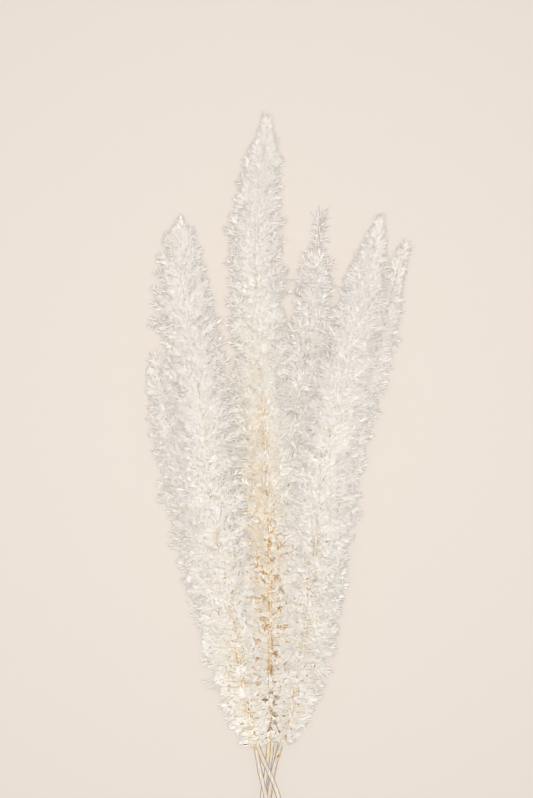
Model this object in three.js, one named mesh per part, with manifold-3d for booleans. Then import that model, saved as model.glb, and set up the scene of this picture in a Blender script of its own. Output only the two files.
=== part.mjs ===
// A bunch of six bleached foxtail fern plumes, cut and gathered so that their bare stems cross.
// It lies on its side: tips towards +Y, cut ends towards -Y, and the surface under it at z = 0.
// Every plume is one growth: a woody stem, the side shoots that make its tufted body, and needles.

import * as THREE from 'three';
import { mergeVertices } from 'three/addons/utils/BufferGeometryUtils.js';
import Module from 'manifold-3d';

const wasm = await Module();
wasm.setup();

// Driving dimensions in millimetres, and angles in degrees
const STEM_RADIUS = 2.1;
const STEM_RING_SPACING = 14;
const RING_SPACING = 10;
const SIDES = 10;
const NEEDLE_LENGTH = 9.5;
const SHORTEST_NEEDLE = 3.5;
const NEEDLE_RADIUS = 0.6;
const NEEDLE_ROOT = 3;
const ROOT_SHIFT = 0.35;
const AREA_PER_NEEDLE = 262;
const TIP_NEEDLES = 8;
const LEAN_AT_FOOT = 68;
const LEAN_AT_TIP = 36;
const LEAN_OF_TIP_NEEDLES = 22;
const FOOT_LENGTH = 70;
const OPENING_POWER = 0.8;

// Shares of the plume's reach: its width where the foliage starts, and how far the tops of the
// side shoots and the hollows between them stand out from the stem
const FOOT_WIDTH = 0.34;
const TUFT_HEIGHT = 0.84;
const HOLLOW_HEIGHT = 0.58;
const HEIGHT_VARIATION = 0.16;

// How far a tuft leans to the tip and strays from its place, and how its needles fan out
const TUFT_LEAN = 4;
const LEAN_VARIATION = 1.8;
const TURN_VARIATION = 0.022;
const NEEDLE_FAN = 0.5;
const NEEDLE_VARIATION = 0.25;

// Room kept between one plume and the next, and the steps in which free room is measured
const NEEDLE_CLEARANCE = 0.55;
const BODY_CLEARANCE = 1.1;
const STEM_CLEARANCE = 1;
const BODY_STEP = 0.7;
const NEEDLE_STEP = 0.5;
const SAMPLE_SPACING = 6;
const SURFACE_CLEARANCE = 0.01;

// The most that a point of the skin may stand out: this ratio of its neighbour's height, and
// millimetres on top of it, less to the next point of its ring than to the next ring
const STEP_RATIO = 1.7;
const STEP_IN_RING = 2.5;
const STEP_TO_RING = 6;

const GOLDEN_TURN = 0.618034;

// The six plumes. A path runs from the cut end to the tip through points in space, bare is the
// length of stem without foliage, radius is how far the needles reach at mid length, and a higher
// bluntness keeps a plume wide for longer before it closes at its tip.
const PLUMES = [
  {
    name: 'plume_left_front',
    path: [
      [8, -325, 12], [-2, -289, 12], [-9, -271, 13.5], [-16, -255, 18], [-25, -228, 25],
      [-38, -156, 37], [-52, -75, 48], [-62, -14, 55], [-67, 42, 59], [-75, 96, 62],
      [-82, 159, 66], [-85, 229, 70],
    ],
    bare: 84,
    radius: 31,
    bluntness: 8,
    colour: 0xe9e2da,
    seed: 11,
  },
  {
    name: 'plume_left_back',
    path: [
      [-6, -323, 12], [-13, -289, 12], [-18, -268, 12], [-21, -250, 12], [-29, -215, 15],
      [-46, -156, 19], [-61, -102, 22], [-77, -39, 25], [-92, 15, 26], [-102, 66, 27],
      [-113, 110, 30],
    ],
    bare: 80,
    radius: 25,
    bluntness: 7,
    colour: 0xe6ded4,
    seed: 12,
  },
  {
    name: 'plume_tall',
    path: [
      [-19, -327, 7.5], [-15, -289, 7.5], [-12, -271, 7.5], [-10, -250, 13], [-9, -219, 21],
      [-8, -147, 33], [-9, -57, 41], [-13, 33, 42], [-18, 114, 42], [-21, 186, 42],
      [-21, 240, 43], [-17, 275, 44], [-12.5, 298, 45], [-12, 323, 46],
    ],
    bare: 84,
    radius: 29,
    bluntness: 7,
    colour: 0xe8e0d7,
    seed: 13,
  },
  {
    name: 'plume_middle_back',
    path: [
      [-20, -325, 3], [-14, -289, 3], [-10, -271, 3], [-7, -250, 5], [-6, -224, 9],
      [-2, -156, 15], [3, -75, 19], [10, 6, 20], [19, 78, 21], [27, 132, 23], [34, 195, 25],
      [37, 235, 27],
    ],
    bare: 84,
    radius: 26,
    bluntness: 6,
    colour: 0xe2d9cf,
    seed: 14,
  },
  {
    name: 'plume_right_front',
    path: [
      [-14, -323, 7.5], [-9, -289, 7.5], [-6, -271, 8.5], [0, -250, 15], [9, -219, 25],
      [22, -147, 38], [31, -75, 50], [38, -3, 56], [50, 60, 60], [65, 123, 62], [75, 165, 64],
      [83, 198, 66], [90, 231, 68],
    ],
    bare: 84,
    radius: 29,
    bluntness: 6.5,
    colour: 0xeae5e0,
    seed: 15,
  },
  {
    name: 'plume_right_back',
    path: [
      [-15, -323, 3], [-8, -289, 3], [-5, -271, 3], [0, -248, 6], [18, -192, 13],
      [36, -130, 20], [49, -57, 24], [59, 6, 24], [72, 60, 25], [86, 108, 26],
      [102, 168, 28], [114, 211, 31],
    ],
    bare: 80,
    radius: 18,
    bluntness: 7,
    colour: 0xe4ddd5,
    seed: 16,
  },
];

const UP = new THREE.Vector3(0, 0, 1);
const CONE_AXIS = new THREE.Vector3(0, 1, 0);
const { clamp, degToRad, lerp } = THREE.MathUtils;

// Repeatable random numbers from -1 to 1
function randomFrom(seed) {
  let state = seed;
  return () => {
    state = (state + 0x6d2b79f5) | 0;
    let mixed = Math.imul(state ^ (state >>> 15), 1 | state);
    mixed = (mixed + Math.imul(mixed ^ (mixed >>> 7), 61 | mixed)) ^ mixed;
    return ((mixed ^ (mixed >>> 14)) >>> 0) / 2147483648 - 1;
  };
}

// How far the needles reach from the stem at a distance along it: the foliage opens over its foot
// and closes round the tip
function reachAt(plume, station) {
  const along = station - plume.bare;
  if (along <= 0) {
    return STEM_RADIUS;
  }
  const share = Math.min(along / plume.leafy, 1);
  const opening = lerp(FOOT_WIDTH, 1, Math.min(along / FOOT_LENGTH, 1) ** OPENING_POWER);
  const closing = Math.sqrt(1 - share ** plume.bluntness);
  return Math.max(plume.radius * opening * closing, STEM_RADIUS);
}

// The stem's centre and directions at a distance along it
function frameAt(plume, station) {
  const share = clamp(station / plume.length, 0, 1);
  const along = plume.curve.getTangentAt(share);
  const side = new THREE.Vector3().crossVectors(along, UP).normalize();
  const over = new THREE.Vector3().crossVectors(side, along);
  return { centre: plume.curve.getPointAt(share), along, side, over };
}

// A point beside the stem, at a place given by its turn from 0 to 1 round it and its lean along it
function pointBeside(frame, place, radius) {
  const angle = 2 * Math.PI * place.turn;
  return frame.centre.clone()
    .addScaledVector(frame.side, radius * Math.cos(angle))
    .addScaledVector(frame.over, radius * Math.sin(angle))
    .addScaledVector(frame.along, place.lean);
}

// The point's distance to a plume's stem, and the station of the nearest point on that stem
function nearestOn(plume, point) {
  const piece = new THREE.Line3();
  const found = new THREE.Vector3();
  const best = { distance: Infinity, station: 0 };
  for (let i = 0; i + 1 < plume.samples.length; i += 1) {
    piece.set(plume.samples[i], plume.samples[i + 1]);
    const share = piece.closestPointToPointParameter(point, true);
    const distance = piece.at(share, found).distanceTo(point);
    if (distance < best.distance) {
      best.distance = distance;
      best.station = (i + share) * plume.sampleSpacing;
    }
  }
  return best;
}

// Plumes press on each other without crossing. A point belongs to the plume whose stem is nearer
// in proportion to its reach. Other stems and the surface below are kept clear as well.
function isFree(owner, point, clearance) {
  if (point.z < 0) {
    return false;
  }
  const own = nearestOn(owner, point);
  const ownShare = (own.distance + clearance) / reachAt(owner, own.station);
  return PLUMES.every((other) => {
    if (other === owner) {
      return true;
    }
    const near = nearestOn(other, point);
    const reach = reachAt(other, near.station);
    const outside = near.distance > reach + clearance;
    const owned = ownShare < (near.distance - clearance) / reach;
    return near.distance > STEM_RADIUS + STEM_CLEARANCE && (outside || owned);
  });
}

// The radius that a ring's vertex gets: the wanted one, or less where another plume is met
function freeRadius(plume, frame, place, wanted) {
  let radius = STEM_RADIUS;
  while (radius < wanted) {
    const next = Math.min(radius + BODY_STEP, wanted);
    if (!isFree(plume, pointBeside(frame, place, next), BODY_CLEARANCE)) {
      return radius;
    }
    radius = next;
  }
  return radius;
}

// Rings of the bare stem, all at the stem's radius
function stemRings(plume) {
  const steps = Math.round(plume.bare / STEM_RING_SPACING);
  return Array.from({ length: steps + 1 }, (_, i) => ({
    frame: frameAt(plume, (plume.bare * i) / steps),
    radii: new Array(SIDES).fill(STEM_RADIUS),
    places: Array.from({ length: SIDES }, (__, side) => ({
      turn: side / SIDES,
      lean: 0,
      isTuft: (i + side) % 2 === 1,
    })),
  }));
}

// Rings of the foliage, where every second vertex is the top of a tuft that leans to the tip
function foliageRings(plume, firstTuft, random) {
  const steps = Math.round(plume.leafy / RING_SPACING);
  return Array.from({ length: steps - 1 }, (_, i) => {
    const station = plume.bare + (plume.leafy * (i + 1)) / steps;
    const frame = frameAt(plume, station);
    const ring = { frame, radii: [], places: [] };
    for (let side = 0; side < SIDES; side += 1) {
      const isTuft = (i + firstTuft + side) % 2 === 1;
      const height = isTuft ? TUFT_HEIGHT : HOLLOW_HEIGHT;
      const wanted = reachAt(plume, station) * height * (1 + HEIGHT_VARIATION * random());
      const place = {
        turn: side / SIDES + TURN_VARIATION * random(),
        lean: (isTuft ? TUFT_LEAN : 0) + LEAN_VARIATION * random(),
        isTuft,
      };
      ring.radii.push(freeRadius(plume, frame, place, wanted));
      ring.places.push(place);
    }
    return ring;
  });
}

// No vertex stands far out beside a pressed one, so the faces between them stay clear as well
function softenSteps(rings) {
  rings.forEach((ring, i) => {
    const before = rings[i - 1] ?? ring;
    const after = rings[i + 1] ?? ring;
    ring.radii = ring.radii.map((radius, side) => Math.min(
      radius,
      STEP_RATIO * ring.radii[(side + 1) % SIDES] + STEP_IN_RING,
      STEP_RATIO * ring.radii[(side + SIDES - 1) % SIDES] + STEP_IN_RING,
      STEP_RATIO * before.radii[side] + STEP_TO_RING,
      STEP_RATIO * after.radii[side] + STEP_TO_RING,
    ));
  });
}

// The skin of stem and foliage, from the cut end to the tip. Each face between four vertices is
// split between its two hollows, so that every tuft is a pointed form of its own. A face names
// the top of its tuft first.
function skinOf(plume, rings) {
  const points = rings.flatMap((ring) => ring.radii.map((radius, side) => (
    pointBeside(ring.frame, ring.places[side], radius)
  )));
  const faces = [];
  for (let ring = 0; ring + 1 < rings.length; ring += 1) {
    for (let side = 0; side < SIDES; side += 1) {
      const next = (side + 1) % SIDES;
      const near = ring * SIDES;
      const far = near + SIDES;
      if (rings[ring].places[side].isTuft) {
        faces.push([near + side, far + side, near + next], [far + next, near + next, far + side]);
      } else {
        faces.push([near + next, near + side, far + next], [far + side, far + next, near + side]);
      }
    }
  }
  const last = (rings.length - 1) * SIDES;
  const cutEnd = points.push(frameAt(plume, 0).centre) - 1;
  const tip = points.push(frameAt(plume, plume.length).centre) - 1;
  for (let side = 0; side < SIDES; side += 1) {
    const next = (side + 1) % SIDES;
    faces.push([cutEnd, side, next], [tip, last + next, last + side]);
  }
  return { points, faces };
}

// A closed solid from loose positions and the triangles between them
function solidFrom(positions, triangles) {
  return new wasm.Manifold(new wasm.Mesh({
    numProp: 3,
    vertProperties: new Float32Array(positions),
    triVerts: new Uint32Array(triangles),
  }));
}

// A three-sided needle from a root, sunk below the skin, in a direction
function needleSolid(root, direction, length) {
  const whole = length + NEEDLE_ROOT;
  const cone = new THREE.ConeGeometry(NEEDLE_RADIUS, whole, 3);
  cone.translate(0, whole / 2 - NEEDLE_ROOT, 0);
  cone.applyQuaternion(new THREE.Quaternion().setFromUnitVectors(CONE_AXIS, direction));
  cone.translate(root.x, root.y, root.z);
  cone.deleteAttribute('normal');
  cone.deleteAttribute('uv');
  const merged = mergeVertices(cone);
  return solidFrom(merged.attributes.position.array, merged.index.array);
}

// The length that a needle has room for: it stops on the surface below and short of other plumes
function freeLength(plume, root, direction) {
  const height = root.z - SURFACE_CLEARANCE;
  const toSurface = direction.z < 0 ? height / -direction.z : Infinity;
  const wanted = Math.min(NEEDLE_LENGTH, toSurface);
  let length = 0;
  while (length < wanted) {
    const next = Math.min(length + NEEDLE_STEP, wanted);
    const point = root.clone().addScaledVector(direction, next);
    if (!isFree(plume, point, NEEDLE_CLEARANCE)) {
      return length;
    }
    length = next;
  }
  return length;
}

// A needle on a face of the skin, between the middle of the face and the top of its tuft. It
// leans to the tip by an angle off the stem, and away from the top of the tuft.
function needleOnFace(plume, skin, face, lean, random) {
  const [top, left, right] = face.map((index) => skin.points[index]);
  const root = new THREE.Triangle(top, left, right).getMidpoint(new THREE.Vector3());
  const frame = frameAt(plume, nearestOn(plume, root).station);
  const out = root.clone().sub(frame.centre).projectOnPlane(frame.along).normalize();
  const direction = out.multiplyScalar(Math.sin(lean)).addScaledVector(frame.along, Math.cos(lean));
  const fan = root.clone().sub(top).projectOnPlane(direction).normalize();
  const stray = new THREE.Vector3(random(), random(), random());
  direction.addScaledVector(fan, NEEDLE_FAN).addScaledVector(stray, NEEDLE_VARIATION).normalize();
  root.lerp(top, ROOT_SHIFT);
  const length = freeLength(plume, root, direction);
  return length < SHORTEST_NEEDLE ? null : needleSolid(root, direction, length);
}

// Needles all round the foliage: one for each share of its area, stepping on by the golden turn
function foliageNeedles(plume, skin, stemFaces, random) {
  const needles = [];
  const steps = Math.round(plume.leafy / RING_SPACING);
  let due = 0;
  let turn = 0;
  for (let step = 0; step < steps - 1; step += 1) {
    const share = (step + 0.5) / steps;
    const reach = reachAt(plume, plume.bare + plume.leafy * share);
    const lean = degToRad(lerp(LEAN_AT_FOOT, LEAN_AT_TIP, share));
    due += (2 * Math.PI * reach * RING_SPACING) / AREA_PER_NEEDLE;
    while (due >= 1) {
      const side = Math.floor(turn * SIDES);
      const half = needles.length % 2;
      const face = skin.faces[stemFaces + 2 * (step * SIDES + side) + half];
      needles.push(needleOnFace(plume, skin, face, lean, random));
      turn = (turn + GOLDEN_TURN) % 1;
      due -= 1;
    }
  }
  return needles;
}

// Needles that close the tip, on the faces round it
function tipNeedles(plume, skin, random) {
  const lean = degToRad(LEAN_OF_TIP_NEEDLES);
  return Array.from({ length: TIP_NEEDLES }, (_, i) => {
    const side = Math.floor((i * SIDES) / TIP_NEEDLES);
    const face = skin.faces[skin.faces.length - 1 - 2 * side];
    return needleOnFace(plume, skin, face, lean, random);
  });
}

// One plume, its skin and needles joined in one body
function buildPlume(plume) {
  const random = randomFrom(plume.seed);
  const bareRings = stemRings(plume);
  const leafyRings = foliageRings(plume, bareRings.length, random);
  softenSteps(leafyRings);
  const skin = skinOf(plume, [...bareRings, ...leafyRings]);
  const stemFaces = 2 * SIDES * (bareRings.length - 1);
  const needles = [
    ...foliageNeedles(plume, skin, stemFaces, random),
    ...tipNeedles(plume, skin, random),
  ].filter((needle) => needle !== null);
  const positions = skin.points.flatMap((point) => point.toArray());
  const core = solidFrom(positions, skin.faces.flat());
  const body = needles.reduce((joined, needle) => joined.add(needle), core);
  return meshOf(body.getMesh(), plume);
}

function meshOf(solid, plume) {
  const geometry = new THREE.BufferGeometry();
  geometry.setAttribute('position', new THREE.BufferAttribute(solid.vertProperties, 3));
  geometry.setIndex(new THREE.BufferAttribute(solid.triVerts, 1));
  const material = new THREE.MeshStandardMaterial({
    color: plume.colour,
    roughness: 0.85,
    metalness: 0,
    flatShading: true,
  });
  const mesh = new THREE.Mesh(geometry, material);
  mesh.name = plume.name;
  return mesh;
}

// Lengths and sample points that the plumes measure each other by
PLUMES.forEach((plume) => {
  plume.curve = new THREE.CatmullRomCurve3(plume.path.map((point) => new THREE.Vector3(...point)));
  plume.length = plume.curve.getLength();
  plume.leafy = plume.length - plume.bare;
  const count = Math.round(plume.length / SAMPLE_SPACING);
  plume.samples = plume.curve.getSpacedPoints(count);
  plume.sampleSpacing = plume.length / count;
});

const bunch = new THREE.Group();
PLUMES.forEach((plume) => bunch.add(buildPlume(plume)));

export default bunch;
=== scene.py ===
"""A bunch of six bleached foxtail fern plumes, gathered and laid on its side.

Each plume is a woody stem that carries short side shoots on a spiral, and every side shoot carries
whorls of needles. The needles of each plume are one piece, and its stem and shoots are another.
The bunch lies on the floor at z = 0, its tips point to +y, and it is seen from above. Lengths are
in millimetres until a mesh, a light or the camera is made.
"""

import bpy
import numpy as np
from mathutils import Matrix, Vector


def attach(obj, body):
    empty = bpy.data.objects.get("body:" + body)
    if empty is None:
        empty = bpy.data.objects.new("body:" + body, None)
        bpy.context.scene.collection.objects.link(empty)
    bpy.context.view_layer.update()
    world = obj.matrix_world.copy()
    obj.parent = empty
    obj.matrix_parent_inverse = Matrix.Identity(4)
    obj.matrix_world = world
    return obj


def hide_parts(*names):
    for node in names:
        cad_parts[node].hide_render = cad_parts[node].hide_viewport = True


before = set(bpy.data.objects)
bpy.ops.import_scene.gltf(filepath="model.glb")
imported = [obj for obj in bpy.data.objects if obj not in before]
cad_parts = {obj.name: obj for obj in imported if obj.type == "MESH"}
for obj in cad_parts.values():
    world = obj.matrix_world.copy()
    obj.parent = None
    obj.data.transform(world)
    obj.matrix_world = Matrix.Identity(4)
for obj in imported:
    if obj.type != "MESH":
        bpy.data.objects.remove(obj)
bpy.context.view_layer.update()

MM = 0.001
GOLDEN_ANGLE = np.pi * (3 - np.sqrt(5))

# What a plume has unless its own entry says otherwise. The words are explained below.
USUAL = dict(
    closing=0.5, shootless=0, width=0.56, cream=120, painted_shade_left=0, parting=(0, 0),
    parting_angles=(0, 0), crown=dict(length=46, gap=2.3, needles=9, lean=(34, 76)),
)

# The plumes, in millimetres, degrees and shares.
# Path runs along the stem from the cut end to the tip, and bare is the length without foliage.
# Reach is how far the needles stand from the stem at mid length. A higher bluntness keeps a plume
# wide for longer before it closes, and closing is the power by which it narrows to its tip.
# Gap is the way along the stem from one side shoot to the next, and shootless is the length below
# the tip that bears none. Needle and width are a needle's length and width.
# A crown is the stretch below the tip where needles grow densely on the stem itself: its length, the
# gap between its whorls, the needles in each and the angles at which they lean at its end and foot.
# A parting is where the upper side is thin enough to show the stem, from one place to another along
# the bunch, and its angles are half of its width at both.
# Warmth is how much cream the bleach has left in the needles, and how golden the stem is. Cream is
# where along the stem there is most of it, and the left share is how much more there is on the left:
# painted shade, where the left front plume shades the tall plume's left side. On the tall plume its
# cream there is partly painted shade as well.
# Grey is how much of the grey of the upper plume, painted shade on its outer needles, its foot has.
# Gold is the share of golden brown needles deep in the foot, partly real colour and partly painted
# shade of the plume's dark inside, and scales is the number of golden scale leaves there.
PLUMES = {
    "plume_left_front": dict(
        path=[
            (8, -325, 12), (-2, -289, 12), (-9, -271, 13.5), (-16, -255, 18), (-25, -228, 25),
            (-38, -156, 37), (-52, -75, 48), (-62, -14, 55), (-67, 42, 59), (-75, 96, 62),
            (-85, 159, 66), (-88, 229, 70),
        ],
        seed=11, bare=84, reach=31, bluntness=6, closing=0.42, gap=0.86, needle=7.2,
        warmth=0.3, grey=0.5, gold=0.03, scales=120,
        crown=dict(length=30, gap=2.0, needles=8, lean=(24, 70)),
    ),
    "plume_left_back": dict(
        path=[
            (-6, -323, 12), (-13, -289, 12), (-18, -268, 12), (-21, -250, 12), (-29, -215, 15),
            (-46, -156, 19), (-61, -102, 22), (-77, -39, 25), (-92, 15, 26), (-102, 66, 27),
            (-113, 110, 30),
        ],
        seed=12, bare=80, reach=25, bluntness=7, gap=1.05, needle=8.2,
        warmth=0.35, grey=0.5, gold=0.04, scales=60,
    ),
    "plume_tall": dict(
        path=[
            (-19, -327, 7.5), (-15, -289, 7.5), (-12, -271, 7.5), (-10, -250, 13), (-9, -219, 21),
            (-8, -147, 33), (-9, -57, 41), (-13, 33, 42), (-18, 114, 42), (-21, 186, 42),
            (-21, 240, 43), (-17, 275, 44), (-12.5, 298, 45), (-12, 323, 46),
        ],
        seed=13, bare=84, reach=29, bluntness=7, closing=0.55, gap=0.84, needle=8.2,
        warmth=0.55, cream=300, painted_shade_left=0.9, grey=0.3, gold=0.1, scales=1100,
        parting=(-225, 75), parting_angles=(62, 20),
    ),
    "plume_middle_back": dict(
        path=[
            (-20, -325, 3), (-14, -289, 3), (-10, -271, 3), (-7, -250, 5), (-6, -224, 9),
            (-2, -156, 15), (3, -75, 19), (10, 6, 20), (19, 78, 21), (27, 132, 23), (34, 195, 25),
            (37, 235, 27),
        ],
        seed=14, bare=84, reach=26, bluntness=6, gap=1.7, shootless=34, needle=11.5, width=0.8,
        warmth=0.4, grey=0.1, gold=0.05, scales=80,
        crown=dict(length=50, gap=3.4, needles=13, lean=(46, 88)),
    ),
    "plume_right_front": dict(
        path=[
            (-14, -323, 7.5), (-9, -289, 7.5), (-6, -271, 8.5), (0, -250, 15), (9, -219, 25),
            (22, -147, 38), (31, -75, 50), (38, -3, 56), (50, 60, 60), (65, 123, 62),
            (75, 165, 64), (83, 198, 66), (90, 231, 68),
        ],
        seed=15, bare=84, reach=29, bluntness=6.5, closing=0.6, gap=0.84, needle=8.2,
        warmth=0.2, grey=0.8, gold=0.03, scales=70,
    ),
    "plume_right_back": dict(
        path=[
            (-15, -323, 3), (-8, -289, 3), (-5, -271, 3), (0, -248, 6), (18, -192, 13),
            (36, -130, 20), (49, -57, 24), (59, 6, 24), (72, 60, 25), (86, 108, 26),
            (102, 168, 28), (114, 211, 31),
        ],
        seed=16, bare=80, reach=20, bluntness=7, gap=1.1, needle=9,
        warmth=0.3, grey=0.8, gold=0.05, scales=30,
        crown=dict(length=46, gap=2.6, needles=11, lean=(40, 74)),
    ),
}

# The form of a plume: the foliage starts at a share of its full width and opens over a length. Its
# golden parts are low down, over a length of their own. Nothing comes nearer to the floor than a gap.
FOOT_WIDTH = 0.34
FOOT_LENGTH = 70
OPENING_POWER = 0.8
GOLD_LENGTH = 230
FLOOR_GAP = 0.25

# The main stem: swellings and ridges are shares of its radius
STEM_RADIUS = 2.25
STEM_TIP_RADIUS = 0.5
STEM_SIDES = 12
STEM_RING_GAP = 3.5
STEM_SHORT_OF_TIP = 2
STEM_CLEARANCE = 0.5
JOINT_GAP = 17
JOINT_SWELLING = 0.09
RIDGES = 4
RIDGE_HEIGHT = 0.035
RIDGE_TWIST = 0.05
STREAK_WIDTH = 1.11
STREAK_LENGTH = 11.1

# The side shoots: their angles off the stem are for the foot and the tip of a plume
SHOOT_START = (80, 46)
SHOOT_END = (64, 40)
SHOOT_ROOT = 0.6
SHOOTS_FROM = 3
SHOOTS_SHORT_OF_TIP = 6
SHOOT_AHEAD = 0.3
SHORTEST_SHOOT = 2.5
SHORTEST_CUT_SHOOT = 3.0
SHOOT_SLACK = 2.0
TWIG_RADIUS = 0.38
TWIG_TIP_RADIUS = 0.16
TWIG_SIDES = 3
TWIG_RINGS = 3

# The needles: gaps between whorls, the length of a shoot that bears them, and how they lean
NEEDLE_DEPTH = 0.25
NEEDLE_BEYOND_SHOOT = 0.75
NEEDLE_SLACK = 6.0
NEEDLE_UNDER_FLOOR = 3
SMALLEST_BLADE = 0.05
WHORL_GAP = 1.75
WHORL_WIDENING = 0.02
NEEDLES_IN_WHORL = 7
BRUSH_LENGTH = 25
ROSETTE_LENGTH = 3
NEEDLE_LEAN = 62
ROSETTE_LEAN = 55
STEM_WHORL_GAP = 2.4
SCALE_LENGTH = (3.2, 5.6)
SCALE_WIDTH = (0.8, 1.4)

# How much they vary: standard deviations in radians for turn and roll, in degrees for start, end and
# lean, and in shares for the rest
SHOOT_VARIES = dict(turn=0.18, start=8, end=12, drift=0.22, length=0.08)
NEEDLE_VARIES = dict(lean=17, crown_lean=9, roll=0.7, length=0.12, crown_length=0.1, width=0.12)

# The picture: its centre over the bunch, its height, and how high the camera is over the plumes
VIEW_CENTRE = (-11.7, 69.8)
VIEW_HEIGHT = 718
CAMERA_HEIGHT = 2200
PLUME_PLANE = 40
LIGHT_ABOVE_CAMERA = 20
LIGHT_WIDTH = 120
LIGHT_POWER = 91
SURROUND_STRENGTH = 0.335
FLOOR_REACH = 4000

# Directions that no shoot or stem has, from which the rings of needles and tubes are turned
NEEDLE_REFERENCE = np.array([0.31, 0.17, 0.94])
TUBE_REFERENCE = np.array([0.12, 0.05, 0.99])

# The two colours and the result of a Mix node, whose names serve other kinds of value too
MIX_FIRST, MIX_SECOND, MIX_RESULT = 6, 7, 2


def along_curve(control, spacing=2.0):
    """Centripetal Catmull-Rom curve through the control points, sampled at even arc length.

    Each stretch between two points is a cubic whose end slopes come from the neighbouring points,
    weighed by the square roots of the distances between them.
    """
    points = np.array(control, float)
    points = np.vstack([2 * points[0] - points[1], points, 2 * points[-1] - points[-2]])
    roots = np.sqrt(np.linalg.norm(np.diff(points, axis=0), axis=1))[:, None]
    before, start, end, after = points[:-3], points[1:-2], points[2:-1], points[3:]
    last, own, coming = roots[:-2], roots[1:-1], roots[2:]
    slope_in = own * ((start - before) / last - (end - before) / (last + own) + (end - start) / own)
    slope_out = own * ((end - start) / own - (after - start) / (own + coming) + (after - end) / coming)
    t = np.linspace(0, 1, 60, endpoint=False)[None, :, None]
    start, end, slope_in, slope_out = (v[:, None, :] for v in (start, end, slope_in, slope_out))
    fine = (
        start * (2 * t**3 - 3 * t**2 + 1)
        + end * (3 * t**2 - 2 * t**3)
        + slope_in * (t**3 - 2 * t**2 + t)
        + slope_out * (t**3 - t**2)
    )
    fine = np.vstack([fine.reshape(-1, 3), points[-2]])
    run = np.concatenate([[0], np.cumsum(np.linalg.norm(np.diff(fine, axis=0), axis=1))])
    even = np.linspace(0, run[-1], int(run[-1] / spacing) + 1)
    return np.stack([np.interp(even, run, fine[:, i]) for i in range(3)], 1), even


def unit(v):
    """Vectors brought to length one."""
    return v / np.maximum(np.linalg.norm(v, axis=-1, keepdims=True), 1e-9)


def lay_out(plume):
    """Completes a plume: its usual values, and its stem's points, slopes, distances and length."""
    for key, value in USUAL.items():
        plume.setdefault(key, value)
    plume["line"], plume["run"] = along_curve(plume["path"])
    plume["length"] = plume["run"][-1]
    plume["slope"] = unit(np.gradient(plume["line"], axis=0))


def stem_frame(plume, station):
    """Centre, direction, side and upper side of a stem at distances along it, by interpolation."""
    columns = [np.interp(station, plume["run"], plume["line"][:, i]) for i in range(3)]
    slopes = [np.interp(station, plume["run"], plume["slope"][:, i]) for i in range(3)]
    along = unit(np.stack(slopes, -1))
    side = unit(np.cross(along, np.array([0, 0, 1.0])))
    return np.stack(columns, -1), along, side, np.cross(side, along)


def leafy_share(plume, station):
    """How far distances along a stem are along its leafy part: 0 at its foot and 1 at its tip."""
    return (station - plume["bare"]) / (plume["length"] - plume["bare"])


def reach_at(plume, station):
    """How far the needles stand from the stem: the reach times an opening foot, a power of the way,
    times a closing tip, one less a power of the way and all that to another power."""
    leafy = plume["length"] - plume["bare"]
    way = np.clip(station - plume["bare"], 0, leafy)
    opening = FOOT_WIDTH + (1 - FOOT_WIDTH) * np.minimum(way / FOOT_LENGTH, 1) ** OPENING_POWER
    closing = np.clip(1 - (way / leafy) ** plume["bluntness"], 0, 1) ** plume["closing"]
    reach = plume["reach"] * opening * closing
    return np.where(station <= plume["bare"], STEM_RADIUS, np.maximum(reach, STEM_RADIUS))


def nearest_on(plume, points):
    """Distance from each point to a stem, and how far along the stem the nearest place is. The
    nearest place has the least square of its distance, less the part that all of them share."""
    line = plume["line"][::2]
    place = ((line**2).sum(1) - 2 * points @ line.T).argmin(1)
    return np.linalg.norm(points - line[place], axis=1), plume["run"][::2][place]


def room_for(owner, points, slack):
    """True where a point is above the floor, clear of other stems, and in its own plume's room:
    nearer to its stem, in shares of the reach, than to any other stem whose needles reach it, give
    or take a slack in millimetres."""
    own_gap, own_station = nearest_on(owner, points)
    own_share = (own_gap - slack) / reach_at(owner, own_station)
    free = points[:, 2] > FLOOR_GAP
    for other in PLUMES.values():
        if other is owner:
            continue
        gap, station = nearest_on(other, points)
        reach = reach_at(other, station)
        inside = own_share > (gap + slack) / reach
        free &= ~(inside & (gap < reach)) & (gap > STEM_RADIUS + STEM_CLEARANCE)
    return free


def spiral(plume):
    """Places on a golden-angle spiral round the leafy part of a stem, at an even gap along it."""
    leafy = plume["length"] - plume["bare"] - plume["shootless"]
    count = int(leafy / plume["gap"])
    step = np.arange(count)
    span = leafy - (SHOOTS_FROM + SHOOTS_SHORT_OF_TIP)
    return plume["bare"] + SHOOTS_FROM + (step + 0.5) / count * span, step * GOLDEN_ANGLE


def towards_tip(angles, share):
    """An angle that goes from its value at the foot to that at the tip as the cube of the way."""
    foot, tip = angles
    return foot - (foot - tip) * share**3


def grow_shoots(plume, rng):
    """Side shoots on a golden-angle spiral. A shoot is an arc: it leaves the stem at a steep angle
    and bends towards the tip, so its distance out and along are integrals of a turning angle. It
    is as long as it takes for its needles to come out to the reach of the plume."""
    station, turn = spiral(plume)
    count = len(station)
    station = station + rng.uniform(-1, 1, count) * plume["gap"]
    turn = turn + rng.normal(0, SHOOT_VARIES["turn"], count)
    share = np.clip(leafy_share(plume, station), 0, 1)
    start = np.radians(towards_tip(SHOOT_START, share) + rng.normal(0, SHOOT_VARIES["start"], count))
    end = np.radians(towards_tip(SHOOT_END, share) + rng.normal(0, SHOOT_VARIES["end"], count))
    ahead = np.minimum(station + SHOOT_AHEAD * plume["reach"], plume["length"] - 1)
    out = reach_at(plume, ahead) * rng.normal(1.02, SHOOT_VARIES["length"], count)
    out = np.maximum(out - NEEDLE_BEYOND_SHOOT * plume["needle"], SHORTEST_SHOOT)
    length = out / np.sin((start + end) / 2)
    drift = rng.normal(0, SHOOT_VARIES["drift"], count)
    shoots = dict(station=station, turn=turn, start=start, end=end, sideways=drift, length=length)
    return part_shoots(plume, shoots, rng)


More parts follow.
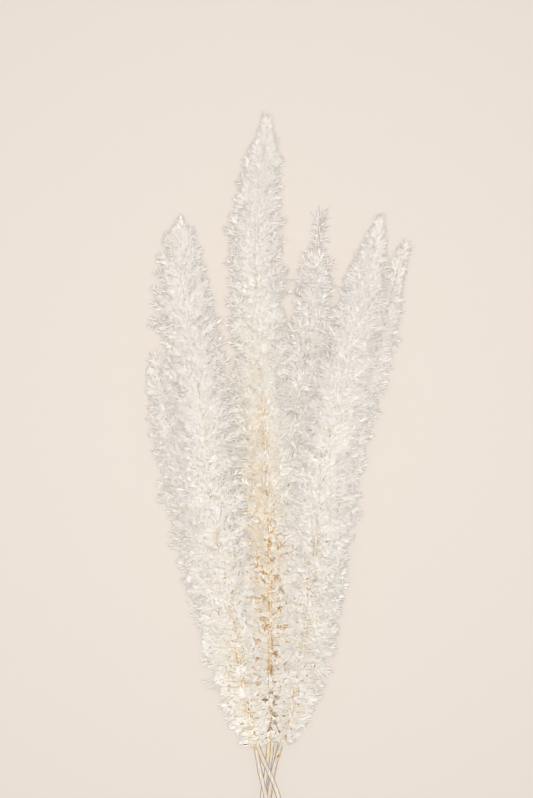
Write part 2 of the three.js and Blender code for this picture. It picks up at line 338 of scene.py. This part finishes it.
def upwardness(plume, shoots):
    """How much a shoot stands on the upper side of its stem: 1 straight above it, -1 below it."""
    _, _, side, over = stem_frame(plume, shoots["station"])
    return side[:, 2] * np.cos(shoots["turn"]) + over[:, 2] * np.sin(shoots["turn"])


def is_open(plume, station, rng):
    """True where the parting of a plume leaves its stem open. Two sine waves of different lengths
    multiply to make longer and shorter openings, and a random draw breaks them up."""
    low, high = plume["parting"]
    place = stem_frame(plume, station)[0][:, 1]
    openness = 0.3 + 0.4 * np.sin(place / 4.3) * np.sin(place / 11 + 2)
    return (place > low) & (place < high) & (rng.uniform(0, 1, len(place)) < openness)


def part_shoots(plume, shoots, rng):
    """Leaves out upper side shoots where the plume is parted, fewer of them towards its tip."""
    place = stem_frame(plume, shoots["station"])[0][:, 1]
    half_angle = np.radians(np.interp(place, plume["parting"], plume["parting_angles"]))
    keep = ~is_open(plume, shoots["station"], rng) | (upwardness(plume, shoots) < np.cos(half_angle))
    return {name: values[keep] for name, values in shoots.items()}


def shoot_points(plume, shoots, t):
    """Points and directions at shares t along every shoot, as arrays of shoot by share. The shares
    are one row for all the shoots, or a row for each."""
    centre, along, side, over = (v[:, None, :] for v in stem_frame(plume, shoots["station"]))
    cos, sin = (f(shoots["turn"])[:, None, None] for f in (np.cos, np.sin))
    out = side * cos + over * sin
    across = over * cos - side * sin
    start, end = shoots["start"][:, None, None], shoots["end"][:, None, None]
    length = shoots["length"][:, None, None]
    bend = end - start
    t = t[..., None] if t.ndim == 2 else t[None, :, None]
    angle = start + bend * t
    away = length * (np.cos(start) - np.cos(angle)) / bend
    onward = length * (np.sin(angle) - np.sin(start)) / bend
    drift = shoots["sideways"][:, None, None] * length * t**2
    points = centre + out * (away + SHOOT_ROOT) + along * onward + across * drift
    points[..., 2] = np.maximum(points[..., 2], FLOOR_GAP + TWIG_RADIUS)
    direction = unit(out * np.sin(angle) + along * np.cos(angle)
                     + across * 2 * shoots["sideways"][:, None, None] * t)
    return points, direction


def fit_shoots(plume, shoots):
    """Shoots are cut back to the first place where another plume's room or the floor begins."""
    t = np.linspace(0, 1, 15)[1:]
    points, _ = shoot_points(plume, shoots, t)
    free = room_for(plume, points.reshape(-1, 3), SHOOT_SLACK).reshape(len(points), -1)
    open_until = np.where(free.all(1), 1.0, t[np.argmin(free, axis=1)])
    keep = open_until * shoots["length"] > SHORTEST_CUT_SHOOT
    shoots["end"] = shoots["start"] + (shoots["end"] - shoots["start"]) * open_until
    shoots["length"] = shoots["length"] * open_until
    return {name: values[keep] for name, values in shoots.items()}


def ring_direction(axis, first, second, lean, spin):
    """Directions that lean off an axis, at angles of spin round it from its first side to its
    second: the axis times the cosine of the lean, plus the turned side times its sine."""
    ring = first * np.cos(spin)[:, None] + second * np.sin(spin)[:, None]
    return unit(axis * np.cos(lean)[:, None] + ring * np.sin(lean)[:, None])


def needle_set(plume, root, heading, length, axis):
    """Pale needles as arrays: where each starts, its heading, length, width and what it grows on."""
    width = np.full(len(root), plume["width"])
    return dict(root=root, heading=heading, length=length, axis=axis, width=width,
                gold=np.zeros(len(root)))


def grow_needles(plume, shoots, rng):
    """Whorls of needles along every shoot, close together at its tip and wider apart towards its
    foot. A needle leans well off its shoot, and those of the last whorls close to a rosette."""
    step = np.arange(int(BRUSH_LENGTH / WHORL_GAP))
    from_tip = WHORL_GAP * (step + WHORL_WIDENING * step**2)
    first_whorl = rng.uniform(0, 1.5, (len(shoots["turn"]), 1))
    t = 1 - (from_tip[None, :] + first_whorl) / shoots["length"][:, None]
    points, direction = shoot_points(plume, shoots, np.clip(t, 0, 1))
    use = t > 0.1
    near_tip = np.exp(-from_tip / ROSETTE_LENGTH)[None, :] * np.ones_like(t)
    root = np.repeat(points[use], NEEDLES_IN_WHORL, 0)
    axis = np.repeat(direction[use], NEEDLES_IN_WHORL, 0)
    near_tip = np.repeat(near_tip[use], NEEDLES_IN_WHORL)
    count = len(root)
    first = unit(np.cross(axis, NEEDLE_REFERENCE))
    spin = rng.uniform(0, 2 * np.pi, count)
    lean = np.radians(NEEDLE_LEAN + rng.normal(0, NEEDLE_VARIES["lean"], count)
                      - near_tip * rng.uniform(0, ROSETTE_LEAN, count))
    heading = ring_direction(axis, first, np.cross(axis, first), lean, spin)
    length = plume["needle"] * rng.normal(1, NEEDLE_VARIES["length"], count) * (1 - 0.15 * near_tip)
    return needle_set(plume, root, heading, length, axis)


def grow_on_stem(plume, rng):
    """Whorls of needles on the stem itself. They stand wide along its leafy part, and close to
    point nearly ahead over the crown. Where the plume is open half of them are missing."""
    crown = plume["crown"]
    leafy = plume["length"] - plume["bare"]
    whorls = np.concatenate([np.arange(0.5, crown["length"], crown["gap"]),
                             np.arange(crown["length"], leafy, STEM_WHORL_GAP)])
    full = ~is_open(plume, plume["length"] - whorls, rng)
    whorls = whorls[full | (rng.uniform(0, 1, len(whorls)) < 0.5)]
    from_end = np.repeat(whorls, crown["needles"])
    vigour = np.repeat(rng.uniform(0.8, 1.15, len(whorls)), crown["needles"])
    count = len(from_end)
    station = plume["length"] - from_end - rng.uniform(0, 2, count)
    root, axis, side, over = stem_frame(plume, station)
    spin = rng.uniform(0, 2 * np.pi, count)
    ahead, aside = crown["lean"]
    share = np.clip(from_end / crown["length"], 0, 1)
    lean = ahead + (aside - ahead) * share**0.6 + rng.normal(0, NEEDLE_VARIES["crown_lean"], count)
    heading = ring_direction(axis, side, over, np.radians(lean), spin)
    length = plume["needle"] * vigour * rng.normal(1, NEEDLE_VARIES["crown_length"], count)
    return needle_set(plume, root, heading, length, axis)


def grow_scales(plume, shoots, rng):
    """Dried scale leaves near the ends of the upper shoots low on a plume, short and broad. Their
    gold runs from 1, golden brown, to almost 2, dark brown, at the foot of the plume: the darkening
    towards the foot is partly painted shade of the plume's dark inside."""
    low = np.clip(1 - (shoots["station"] - plume["bare"]) / GOLD_LENGTH, 0, 1)
    likely = low * (1.3 - low) * np.clip(upwardness(plume, shoots), 0.05, 1) ** 2
    picked = rng.choice(len(low), plume["scales"], p=likely / likely.sum())
    shoots = {name: values[picked] for name, values in shoots.items()}
    count = len(picked)
    points, direction = shoot_points(plume, shoots, rng.uniform(0.6, 1, (count, 1)))
    heading = unit(direction[:, 0] + rng.normal(0, 0.6, (count, 3)))
    # The gold darkens towards the foot, partly as painted shade of the plume's dark inside.
    return dict(root=points[:, 0], heading=heading, length=rng.uniform(*SCALE_LENGTH, count),
                axis=direction[:, 0], width=rng.uniform(*SCALE_WIDTH, count),
                gold=1 + 0.8 * low[picked] ** 3)


def trim_needles(plume, needles):
    """Needles that would enter another plume's room or pass far under the floor are left out."""
    tips = needles["root"] + needles["heading"] * needles["length"][:, None]
    keep = tips[:, 2] > -NEEDLE_UNDER_FLOOR
    keep &= room_for(plume, tips, NEEDLE_SLACK) | (tips[:, 2] < FLOOR_GAP)
    return {name: values[keep] for name, values in needles.items()}


def blades(needles, rng):
    """Every needle is a narrow keeled blade of four triangles: its back runs straight from root to
    tip, and two points at half its length give it its width and its keel. A scale leaf is widest
    nearer to its tip. Those that meet the floor lie along it, and any that it flattens to less
    than the smallest blade are left out. Gives points, triangles and which needles are in them."""
    root, heading, length = needles["root"], needles["heading"], needles["length"][:, None]
    count = len(root)
    roll = rng.normal(0, NEEDLE_VARIES["roll"], count)[:, None]
    flat = unit(np.cross(heading, needles["axis"] + 1e-3))
    side = flat * np.cos(roll) + np.cross(heading, flat) * np.sin(roll)
    keel = np.cross(heading, side) * NEEDLE_DEPTH
    varied = rng.normal(1, NEEDLE_VARIES["width"], count)[:, None]
    width = side * needles["width"][:, None] * varied / 2
    waist = root + heading * length * np.where(needles["gold"] > 0, 0.7, 0.5)[:, None] + keel
    corners = np.stack([root, root + heading * length, waist + width, waist - width], 1)
    corners[..., 2] = np.maximum(corners[..., 2], FLOOR_GAP)
    edges = corners[:, 1:] - corners[:, :1]
    six_volumes = np.einsum("ij,ij->i", edges[:, 0], np.cross(edges[:, 1], edges[:, 2]))
    solid = six_volumes > 6 * SMALLEST_BLADE
    corners = corners[solid]
    pattern = np.array([[0, 2, 1], [0, 1, 3], [0, 3, 2], [1, 2, 3]])
    faces = pattern[None] + 4 * np.arange(len(corners))[:, None, None]
    return corners.reshape(-1, 3), faces.reshape(-1, 3), solid


def needle_colours(plume, needles, rng):
    """Depth and grey shading values for the four corners of every blade: its root, its tip and its two
    sides.

    Depth goes from white through cream to golden brown. It is a sum of how near the root is to the
    stem, which counts less near the plume's tip, of a bell curve of cream along the plume, with more on
    its left side where a share for that is set, as painted shade where a neighbouring plume shades it,
    and of chance, less a part at the needle's tip. A golden needle or a scale leaf is deep throughout;
    the golden needles near the stem in the foot are partly real colour and partly painted shade of the
    plume's dark inside. The grey shading value goes from a grey of painted shade to the needle's own
    colour, with some random spread: a needle is greyest at its tip, outer needles are greyer than those
    near the stem, and a plume is greyer above its foot, all as painted shade on the outer needles.
    """
    gap, station = nearest_on(plume, needles["root"])
    count = len(gap)
    near_stem = 1 - np.clip(gap / reach_at(plume, station), 0, 1)
    creamy = np.exp(-(((station - plume["cream"]) / 160) ** 2))
    # More cream on the left side: painted shade where the plume beside it on the left shades it.
    aside = (needles["root"][:, 0] - stem_frame(plume, station)[0][:, 0]) / plume["reach"]
    creamy = creamy * np.clip(1 - plume["painted_shade_left"] * aside, 0, 1.4)
    near_stem = near_stem * np.clip((plume["length"] - station) / 200, 0, 1)
    depth = 0.65 * near_stem + (0.1 + 0.6 * plume["warmth"]) * creamy + rng.normal(0, 0.08, count)
    depth = np.clip(depth[:, None] - np.array([0, 0.25, 0.1, 0.1])[None, :], 0, 0.86)
    # Golden brown needles near the stem in the foot: partly real colour, partly painted shade of the
    # plume's dark inside.
    foot = np.clip(1 - (station - plume["bare"]) / GOLD_LENGTH, 0, 1)
    chance = plume["gold"] * foot * np.clip((near_stem - 0.3) / 0.35, 0, 1)
    depth[rng.uniform(0, 1, count) < chance] = np.array([0.95, 0.9, 0.95, 0.95])
    is_scale = needles["gold"] > 0
    depth[is_scale] = 0.9 + 0.05 * needles["gold"][is_scale, None]
    share = np.clip(leafy_share(plume, station), 0, 1)
    # Painted shade: a grey for outer needles, most at their tips and on the upper plume.
    painted_shade_share = (1 - 0.2 * near_stem) * np.interp(share, (0, 0.6), (plume["grey"], 1))
    painted_shade_share = np.where(is_scale, 0, painted_shade_share)
    shade_and_tone = 1 - painted_shade_share[:, None] * (np.array([0.1, 1, 0.6, 0.6])[None, :]
                                + rng.uniform(-0.35, 0.35, count)[:, None])
    return depth.ravel(), np.clip(shade_and_tone, 0, 1).ravel()


def swept_tubes(centres, directions, radii, sides):
    """Tubes by tube, ring and side: a circle is carried along each line of centres, square to its
    direction, at a radius for every ring and side, and both ends close on a point."""
    first = unit(np.cross(directions, TUBE_REFERENCE))
    second = np.cross(directions, first)
    angle = 2 * np.pi * np.arange(sides) / sides
    ring = (
        first[:, :, None] * np.cos(angle)[None, None, :, None]
        + second[:, :, None] * np.sin(angle)[None, None, :, None]
    )
    around = centres[:, :, None] + ring * radii[..., None]
    tubes, rings = centres.shape[:2]
    vertices = np.concatenate(
        [centres[:, :1], around.reshape(tubes, rings * sides, 3), centres[:, -1:]], 1
    )
    side = np.arange(sides)
    after = (side + 1) % sides
    start = 1 + sides * np.arange(rings - 1)[:, None]
    walls = np.stack([start + side, start + sides + side, start + sides + after, start + after], -1)
    walls = walls.reshape(-1, 4)
    triangles = np.concatenate([walls[:, [0, 2, 1]], walls[:, [0, 3, 2]]])
    last = 1 + sides * (rings - 1)
    end = 1 + sides * rings
    caps = np.concatenate([
        np.stack([np.zeros_like(side), 1 + side, 1 + after], -1),
        np.stack([np.full_like(side, end), last + after, last + side], -1),
    ])
    pattern = np.concatenate([triangles, caps])
    offset = (2 + rings * sides) * np.arange(tubes)[:, None, None]
    return vertices.reshape(-1, 3), (pattern[None] + offset).reshape(-1, 3)


def stem_bark(plume, station, joint, angle):
    """The bark of the main stem by ring and side, from pale through gold to dark brown. Inside the
    foliage it is golden, most so at the knots, a product of two sine waves, and less towards the
    tip. Along the middle of the foliage its pale base is paler still: painted light that makes up for
    the shade deep inside the plume. Joints below the foliage are darker. Scars are the peaks of waves
    along and round it."""
    share = leafy_share(plume, station)
    gold = np.clip((share + 0.03) / 0.06, 0, 1) * np.clip(1.5 - 1.6 * share, 0, 1)
    knots = np.clip(2 * np.sin(station / 1.9) * np.sin(station / 3.1 + 1), 0, 1)
    # Paler along the middle of the foliage: painted light that makes up for the shade deep inside the
    # plume.
    pale = 0.15 - 0.07 * np.sin(np.pi * np.clip(share, 0, 1))
    bark = pale + np.minimum(gold * plume["warmth"] * (0.5 + 1.5 * knots), 0.45)
    bark = bark + np.where(share < 0.02, joint, 0)
    scars = np.sin(station / 2.3 + plume["seed"])[:, None] * np.cos(angle + station[:, None] / 9)
    around = np.minimum(bark[:, None] + 0.6 * np.clip(5 * scars - 4, 0, 1), 0.85)
    return np.concatenate([[bark[0]], around.ravel(), [bark[-1]]])


def stem_tube(plume):
    """The main stem: a ring of sides swept along the path, thinning to the tip as a power of the
    way, with faint ridges that wind round it and a swelling, a bell curve, at every joint."""
    length = plume["length"]
    station = np.linspace(0, length - STEM_SHORT_OF_TIP, int(length / STEM_RING_GAP))
    centre, along, _, _ = stem_frame(plume, station)
    thickness = np.minimum(1.15 * (1 - station / length), 1) ** 1.5
    radius = STEM_TIP_RADIUS + (STEM_RADIUS - STEM_TIP_RADIUS) * thickness
    from_joint = ((station / JOINT_GAP + 0.3) % 1) - 0.5
    joint = JOINT_SWELLING * np.exp(-((from_joint / 0.12) ** 2))
    angle = 2 * np.pi * np.arange(STEM_SIDES) / STEM_SIDES
    ridges = RIDGE_HEIGHT * np.cos(RIDGES * angle[None, :] + RIDGE_TWIST * station[:, None])
    radii = radius[:, None] * (0.94 + joint[:, None] + ridges)
    vertices, faces = swept_tubes(centre[None], along[None], radii[None], STEM_SIDES)
    return vertices, faces, stem_bark(plume, station, joint, angle)


def twig_tubes(plume, shoots):
    """The side shoots' own stalks: tubes along the shoots' arcs that thin and pale to the end."""
    t = np.linspace(0, 1, TWIG_RINGS)
    points, direction = shoot_points(plume, shoots, t)
    radii = TWIG_RADIUS + (TWIG_TIP_RADIUS - TWIG_RADIUS) * t
    radii = np.broadcast_to(radii[None, :, None], (len(points), TWIG_RINGS, TWIG_SIDES))
    vertices, faces = swept_tubes(points, direction, radii, TWIG_SIDES)
    share = leafy_share(plume, shoots["station"])
    bark = np.concatenate([[1], np.repeat((1 - t) ** 2, TWIG_SIDES), [0]])
    bark = 0.4 * bark[None, :] * np.clip(1 - 1.9 * share, 0, 1)[:, None]
    return vertices, faces, bark.ravel()


def make_piece(name, vertices, faces, material, attributes=(), smooth=True):
    """A mesh object at the origin from arrays in millimetres, with its per-vertex attributes."""
    mesh = bpy.data.meshes.new(name)
    mesh.vertices.add(len(vertices))
    mesh.vertices.foreach_set("co", (vertices * MM).astype(np.float32).ravel())
    mesh.loops.add(faces.size)
    mesh.loops.foreach_set("vertex_index", faces.astype(np.int32).ravel())
    mesh.polygons.add(len(faces))
    mesh.polygons.foreach_set("loop_start", 3 * np.arange(len(faces), dtype=np.int32))
    for label, values in attributes:
        layer = mesh.attributes.new(label, "FLOAT", "POINT")
        layer.data.foreach_set("value", values.astype(np.float32))
    mesh.update(calc_edges=True)
    if smooth:
        mesh.shade_smooth()
    else:
        mesh.shade_flat()
    mesh.materials.append(material)
    piece = bpy.data.objects.new(name, mesh)
    bpy.context.scene.collection.objects.link(piece)
    return piece


def colour(text):
    """Linear RGBA of an sRGB hex colour."""
    parts = np.array([int(text[i:i + 2], 16) for i in (0, 2, 4)]) / 255
    linear = np.where(parts <= 0.04045, parts / 12.92, ((parts + 0.055) / 1.055) ** 2.4)
    return (*linear.tolist(), 1.0)


def new_material(name):
    """A material with nodes, and its shader."""
    material = bpy.data.materials.new(name)
    material.use_nodes = True
    return material, material.node_tree.nodes["Principled BSDF"]


def node(material, kind, settings=(), stops=(), **links):
    """Adds a node, sets its properties and unlinked inputs by name, and its colour stops as pairs
    of a place and a hex colour, and links its named inputs, written with _ for a blank."""
    made = material.node_tree.nodes.new(kind)
    for key, value in dict(settings).items():
        if hasattr(made, key):
            setattr(made, key, value)
        else:
            made.inputs[key].default_value = value
    if stops:
        elements = made.color_ramp.elements
        for place, _ in stops[1:-1]:
            elements.new(place)
        for element, (place, shade) in zip(elements, stops):
            element.position = place
            element.color = colour(shade)
    for key, source in links.items():
        link(material, source, made.inputs[key.replace("_", " ")])
    return made


def link(material, source, target):
    """Links the output of one node to the input of another."""
    material.node_tree.links.new(source, target)


def needle_material():
    """Bleached and preserved fern needles: thin, dry and matte, near white, and creamier towards the
    stem where the bleach leaves some colour. The grey they are mixed with towards their tips is painted
    shade on the outer needles, and their darkest golden browns are partly painted shade in the foot.
    Thin as they are, half of the light that enters one leaves it on its far side."""
    material, shader = new_material("bleached_needle")
    depth = node(material, "ShaderNodeAttribute", {"attribute_name": "depth"})
    shade_and_tone = node(material, "ShaderNodeAttribute", {"attribute_name": "shade_and_tone"})
    # The two golden browns at the end colour golden needles and scale leaves, whose darkness in the foot
    # is partly painted shade.
    stops = ((0, "fbfafa"), (0.25, "fefdfc"), (0.5, "fefdf9"), (0.7, "fdf9ee"), (0.86, "f8eeda"),
             (0.95, "d2a94c"), (1, "78581c"))
    cream = node(material, "ShaderNodeValToRGB", stops=stops, Fac=depth.outputs["Fac"])
    shade = node(material, "ShaderNodeMix", {"data_type": "RGBA"}, Factor=shade_and_tone.outputs["Fac"])
    # This grey is painted shade on the outer needles.
    shade.inputs[MIX_FIRST].default_value = colour("e3dfd9")
    link(material, cream.outputs["Color"], shade.inputs[MIX_SECOND])
    link(material, shade.outputs[MIX_RESULT], shader.inputs["Base Color"])
    shader.inputs["Roughness"].default_value = 0.55
    shader.inputs["Specular IOR Level"].default_value = 0.4
    glow = node(material, "ShaderNodeBsdfTranslucent", Color=shade.outputs[MIX_RESULT])
    both = node(material, "ShaderNodeMixShader", {"Fac": 0.55})
    link(material, shader.outputs["BSDF"], both.inputs[1])
    link(material, glow.outputs["BSDF"], both.inputs[2])
    output = material.node_tree.nodes["Material Output"]
    link(material, both.outputs["Shader"], output.inputs["Surface"])
    return material


def stem_material():
    """Bleached woody stem, dry and dull: a pale greyish straw on the bare foot and golden brown
    inside the foliage, with fine darker streaks along it and brown knots and scars."""
    material, shader = new_material("bleached_stem")
    bark = node(material, "ShaderNodeAttribute", {"attribute_name": "bark"})
    place = node(material, "ShaderNodeTexCoord")
    across, along = 1 / (STREAK_WIDTH * MM), 1 / (STREAK_LENGTH * MM)
    stretch = node(material, "ShaderNodeMapping", {"Scale": (across, along, across)},
                   Vector=place.outputs["Object"])
    streaks = node(material, "ShaderNodeTexNoise", {"Scale": 1.0, "Detail": 4.0},
                   Vector=stretch.outputs["Vector"])
    stops = ((0, "fcf8f0"), (0.08, "cfc5bb"), (0.15, "b5aba1"), (0.3, "bfae8f"), (0.55, "a87c42"),
             (0.85, "6e4818"), (1, "38260f"))
    tones = node(material, "ShaderNodeValToRGB", stops=stops, Fac=bark.outputs["Fac"])
    dark = node(material, "ShaderNodeMapRange", {"From Min": 0.35, "From Max": 0.7, "To Min": 0.72},
                Value=streaks.outputs["Fac"])
    shade = node(material, "ShaderNodeMix",
                 {"data_type": "RGBA", "blend_type": "MULTIPLY", "Factor": 1.0})
    link(material, tones.outputs["Color"], shade.inputs[MIX_FIRST])
    link(material, dark.outputs["Result"], shade.inputs[MIX_SECOND])
    link(material, shade.outputs[MIX_RESULT], shader.inputs["Base Color"])
    shader.inputs["Roughness"].default_value = 0.7
    return material


def floor_material():
    """Matte painted board: a plain pale grey with no shine."""
    material, shader = new_material("pale_floor")
    shader.inputs["Base Color"].default_value = colour("a9a199")
    shader.inputs["Roughness"].default_value = 0.9
    return material


def make_plume(name, plume, needle_finish, stem_finish):
    """One plume: a piece for its needles and a piece for its stem and shoots."""
    rng = np.random.default_rng(plume["seed"])
    shoots = fit_shoots(plume, grow_shoots(plume, rng))
    grown = [grow_needles(plume, shoots, rng), grow_on_stem(plume, rng), grow_scales(plume, shoots, rng)]
    needles = {part: np.concatenate([each[part] for each in grown]) for part in grown[0]}
    needles = trim_needles(plume, needles)
    vertices, faces, solid = blades(needles, rng)
    needles = {part: values[solid] for part, values in needles.items()}
    depth, shade_and_tone = needle_colours(plume, needles, rng)
    leaves = make_piece(name + "_needles", vertices, faces, needle_finish,
                        [("depth", depth), ("shade_and_tone", shade_and_tone)], smooth=False)
    stem_vertices, stem_faces, bark = stem_tube(plume)
    twig_vertices, twig_faces, twig_bark = twig_tubes(plume, shoots)
    stalks = make_piece(
        name + "_stem",
        np.concatenate([stem_vertices, twig_vertices]),
        np.concatenate([stem_faces, twig_faces + len(stem_vertices)]),
        stem_finish,
        [("bark", np.concatenate([bark, twig_bark]))],
    )
    for piece, finish in ((leaves, "foliage"), (stalks, "stem")):
        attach(piece, "root")
        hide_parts(name)


def make_camera():
    """A long lens straight above the bunch, with the tips at the top of the picture."""
    lens = bpy.data.cameras.new("camera")
    lens.lens = CAMERA_HEIGHT * lens.sensor_width / VIEW_HEIGHT
    camera = bpy.data.objects.new("camera", lens)
    camera.location = Vector((*VIEW_CENTRE, CAMERA_HEIGHT + PLUME_PLANE)) * MM
    bpy.context.scene.collection.objects.link(camera)
    bpy.context.scene.camera = camera


def make_floor():
    """A plain pale floor: a square about the origin."""
    corners = np.array([(-1, -1, 0), (1, -1, 0), (1, 1, 0), (-1, 1, 0)]) * FLOOR_REACH
    floor = make_piece("floor", corners, np.array([[0, 1, 2], [0, 2, 3]]), floor_material())


def make_lights():
    """An even pale surround, and a soft round light straight above the bunch."""
    world = bpy.data.worlds.new("surround")
    world.use_nodes = True
    background = world.node_tree.nodes["Background"]
    background.inputs["Color"].default_value = colour("ffffff")
    background.inputs["Strength"].default_value = SURROUND_STRENGTH
    bpy.context.scene.world = world
    soft = bpy.data.lights.new("soft_light", "AREA")
    soft.shape = "DISK"
    soft.size = LIGHT_WIDTH * MM
    soft.energy = LIGHT_POWER
    lamp = bpy.data.objects.new("soft_light", soft)
    height = CAMERA_HEIGHT + PLUME_PLANE + LIGHT_ABOVE_CAMERA
    lamp.location = Vector((*VIEW_CENTRE, height)) * MM
    bpy.context.scene.collection.objects.link(lamp)


def set_view():
    """Plain colours, sharp pixels, and light that may pass on through many needles."""
    scene = bpy.context.scene
    scene.view_settings.view_transform = "Standard"
    scene.cycles.filter_width = 0.9
    scene.cycles.max_bounces = 24
    scene.cycles.diffuse_bounces = 16
    scene.cycles.transmission_bounces = 24


make_camera()
for plume in PLUMES.values():
    lay_out(plume)
needle_finish = needle_material()
stem_finish = stem_material()
for name, plume in PLUMES.items():
    make_plume(name, plume, needle_finish, stem_finish)
make_floor()
make_lights()
set_view()
